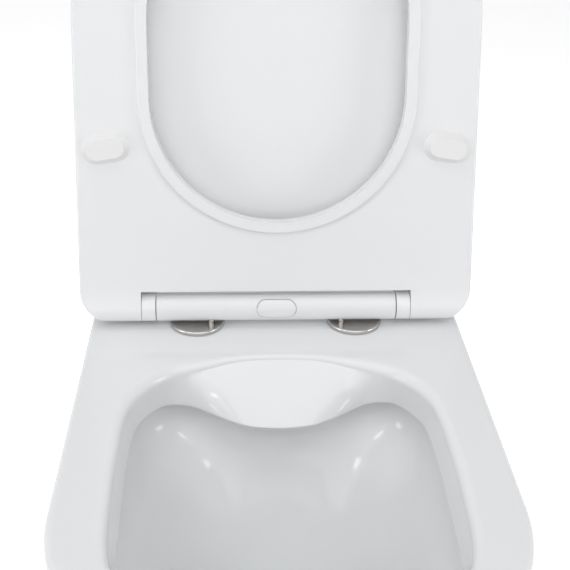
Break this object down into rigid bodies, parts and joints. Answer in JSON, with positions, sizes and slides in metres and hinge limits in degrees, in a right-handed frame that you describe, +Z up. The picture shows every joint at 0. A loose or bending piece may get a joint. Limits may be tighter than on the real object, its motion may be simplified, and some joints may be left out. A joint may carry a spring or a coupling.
{
  "type": "wall hung toilet",
  "caption": "Wall hung rimless toilet pan with a soft-close seat ring and lid standing open on a quick-release hinge barrel.",
  "frame": {"origin": "midway between the two wall studs, on the finished wall face", "axes": "+X to the user's right when facing the wall, +Y into the wall, +Z up; the bowl points along -Y"},
  "size_m": [0.362, 0.549, 0.7956],
  "materials": {
    "vitreous_china": "white glazed vitreous china, glossy",
    "duroplast": "white compression-moulded duroplast, high gloss",
    "hinge_plastic": "white injection-moulded ABS, gloss",
    "cap_plastic": "white moulded cover cap",
    "buffer_rubber": "white soft rubber, satin",
    "clear_gasket": "pale grey silicone",
    "black_rubber": "black EPDM",
    "stainless": "polished stainless steel",
    "zinc_steel": "zinc-plated steel",
    "spring_steel": "drawn spring wire",
    "damper_plastic": "dark glass-filled nylon",
    "latch_plastic": "natural acetal",
    "bush_plastic": "natural nylon",
    "zinc_alloy": "die-cast shaft, satin",
    "brass_nut": "turned brass"
  },
  "bodies": {
    "pan": {"pan_bowl": "vitreous_china", "pan_foot": "vitreous_china", "pan_inlet": "vitreous_china", "pan_outlet": "vitreous_china", "pan_rim": "vitreous_china", "pan_skirt": "vitreous_china", "pan_web": "vitreous_china", "barrel_end_cap_left": "hinge_plastic", "barrel_end_cap_right": "hinge_plastic", "base_disc_gasket_left": "clear_gasket", "base_disc_gasket_right": "clear_gasket", "damper_cover_left": "damper_plastic", "damper_cover_right": "damper_plastic", "damper_housing_left": "damper_plastic", "damper_housing_right": "damper_plastic", "expansion_sleeves": "black_rubber", "hinge_barrel": "hinge_plastic", "hinge_base_disc_left": "stainless", "hinge_base_disc_right": "stainless", "hinge_post_left": "stainless", "hinge_post_right": "stainless", "latch_spring_left": "spring_steel", "latch_spring_right": "spring_steel", "seat_bolts": "stainless", "shaft_seal_left": "black_rubber", "shaft_seal_right": "black_rubber", "side_bushes": "bush_plastic", "side_cap_left": "cap_plastic", "side_cap_right": "cap_plastic", "side_screws": "zinc_steel", "sleeve_nuts": "brass_nut", "wall_bracket_left": "zinc_steel", "wall_bracket_right": "zinc_steel"},
    "lid": {"lid": "duroplast", "lid_bumpers": "buffer_rubber", "lid_damper_shaft": "zinc_alloy"},
    "seat_ring": {"seat_ring": "duroplast", "ring_damper_shaft": "zinc_alloy", "rear_ring_bumper_left": "buffer_rubber", "rear_ring_bumper_right": "buffer_rubber", "front_ring_bumper_left": "buffer_rubber", "front_ring_bumper_right": "buffer_rubber"},
    "release_button": {"release_button": "hinge_plastic"},
    "latch_left": {"latch_left": "latch_plastic"},
    "latch_right": {"latch_right": "latch_plastic"}
  },
  "joints": [
    {"name": "lid_hinge", "type": "hinge", "parent": "pan", "child": "lid", "pos_m": [0, -0.104, 0.098], "axis": [1, 0, 0], "range_deg": [0, 101.65]},
    {"name": "ring_hinge", "type": "hinge", "parent": "pan", "child": "seat_ring", "pos_m": [0, -0.104, 0.098], "axis": [1, 0, 0], "range_deg": [0, 101.65]},
    {"name": "button_press", "type": "slide", "parent": "pan", "child": "release_button", "axis": [0, 0.9511, -0.309], "range_m": [0, 0.0025], "stiffness_N_per_m": 800},
    {"name": "latch_left_slide", "type": "slide", "parent": "pan", "child": "latch_left", "axis": [1, 0, 0], "range_m": [0, 0.0025], "deforming": ["latch_spring_left"]},
    {"name": "latch_right_slide", "type": "slide", "parent": "pan", "child": "latch_right", "axis": [-1, 0, 0], "range_m": [0, 0.0025], "deforming": ["latch_spring_right"]}
  ],
  "couplings": [
    {"joint": "ring_hinge", "follows": "lid_hinge", "ratio": 1},
    {"joint": "latch_left_slide", "follows": "button_press", "ratio": 1},
    {"joint": "latch_right_slide", "follows": "button_press", "ratio": 1}
  ]
}
